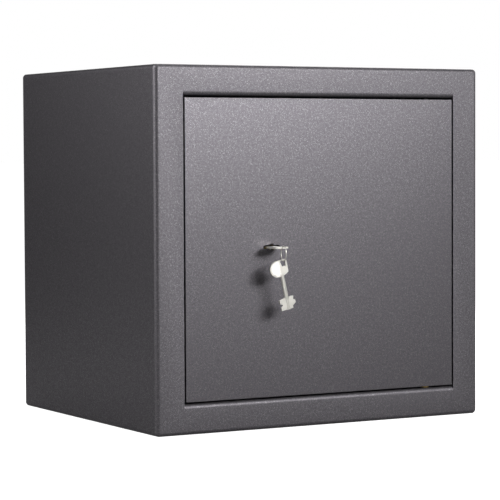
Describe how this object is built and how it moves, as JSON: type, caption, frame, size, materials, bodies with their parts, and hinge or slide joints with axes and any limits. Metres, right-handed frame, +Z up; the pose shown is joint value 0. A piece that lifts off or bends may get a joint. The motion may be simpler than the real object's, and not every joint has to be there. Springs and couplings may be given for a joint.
{
  "type": "safe",
  "caption": "Key-locking cabinet safe with a flush double-walled door on concealed pivots, sliding boltwork, shelf and floor mat.",
  "frame": {"origin": "middle of the cabinet's base, on the surface that it stands on", "axes": "+Z up, +X to the right as one faces the door, the door faces -Y"},
  "size_m": [0.45, 0.4087, 0.43],
  "materials": {
    "powder_coat": "fine textured metallic graphite powder coat",
    "shelf_coat": "smooth satin grey powder coat",
    "mat_felt": "needle felt",
    "zinc_plate": "bright zinc plate",
    "bare_steel": "mill steel, lightly oiled",
    "bright_steel": "turned and ground",
    "black_oxide": "black oxide, oiled",
    "brass": "stamped or turned, unlacquered",
    "nickel": "nickel plate, tumbled"
  },
  "bodies": {
    "cabinet": {"body_wrap": "powder_coat", "back_panel": "powder_coat", "front_frame": "powder_coat", "jamb_left": "powder_coat", "jamb_right": "powder_coat", "hinge_block_upper": "powder_coat", "hinge_block_lower": "powder_coat", "shelf_brackets": "powder_coat", "shelf": "shelf_coat", "floor_mat": "mat_felt"},
    "door": {"door_plate": "powder_coat", "door_box": "powder_coat", "door_cover": "powder_coat", "cover_screws": "zinc_plate", "hinge_carrier_upper": "bare_steel", "hinge_carrier_lower": "bare_steel", "hinge_pin_upper": "black_oxide", "hinge_pin_lower": "black_oxide", "thrust_collar": "brass", "fixed_bolts": "bright_steel", "bolt_guide": "bare_steel", "hard_plate": "bare_steel", "lock_case": "zinc_plate", "lock_cover": "zinc_plate", "lock_screws": "zinc_plate", "lever_post": "bright_steel"},
    "boltwork": {"lock_bolt": "zinc_plate", "bolt_bar": "bare_steel", "live_bolts": "bright_steel", "bolt_screws": "zinc_plate"},
    "carrier": {"key_carrier": "brass"},
    "key": {"key": "nickel"},
    "ring": {"key_ring": "nickel"},
    "spare": {"spare_key": "nickel"},
    "levers": {"lever_pack": "brass", "lever_springs": "bright_steel"}
  },
  "joints": [
    {"name": "door_swing", "type": "hinge", "parent": "cabinet", "child": "door", "pos_m": [0.1528, -0.177, 0.215], "axis": [0, 0, 1], "range_deg": [0, 140]},
    {"name": "bolt_throw", "type": "slide", "parent": "door", "child": "boltwork", "axis": [-1, 0, 0], "range_m": [0, 0.02073]},
    {"name": "key_turn", "type": "hinge", "parent": "door", "child": "carrier", "pos_m": [-0.0715, -0.15, 0.216], "axis": [0, -1, 0], "range_deg": [0, 180.01]},
    {"name": "key_withdraw", "type": "slide", "parent": "carrier", "child": "key", "axis": [0, -1, 0], "range_m": [0, 0.045]},
    {"name": "ring_swing", "type": "hinge", "parent": "key", "child": "ring", "pos_m": [-0.0695, -0.21205, 0.216], "axis": [-0.9848, 0.1736, 0], "range_deg": [0, 180.01]},
    {"name": "spare_swing", "type": "hinge", "parent": "ring", "child": "spare", "pos_m": [-0.0695, -0.21205, 0.20135], "axis": [0, 1, 0], "range_deg": [-20, 20]},
    {"name": "lever_drop", "type": "hinge", "parent": "door", "child": "levers", "pos_m": [-0.1035, -0.17, 0.216], "axis": [0, 1, 0], "range_deg": [0, 2.5]}
  ],
  "couplings": [
    {"joint": "key_turn", "follows": "bolt_throw", "rad_per_m": 151.52},
    {"joint": "ring_swing", "follows": "bolt_throw", "rad_per_m": 151.52}
  ]
}
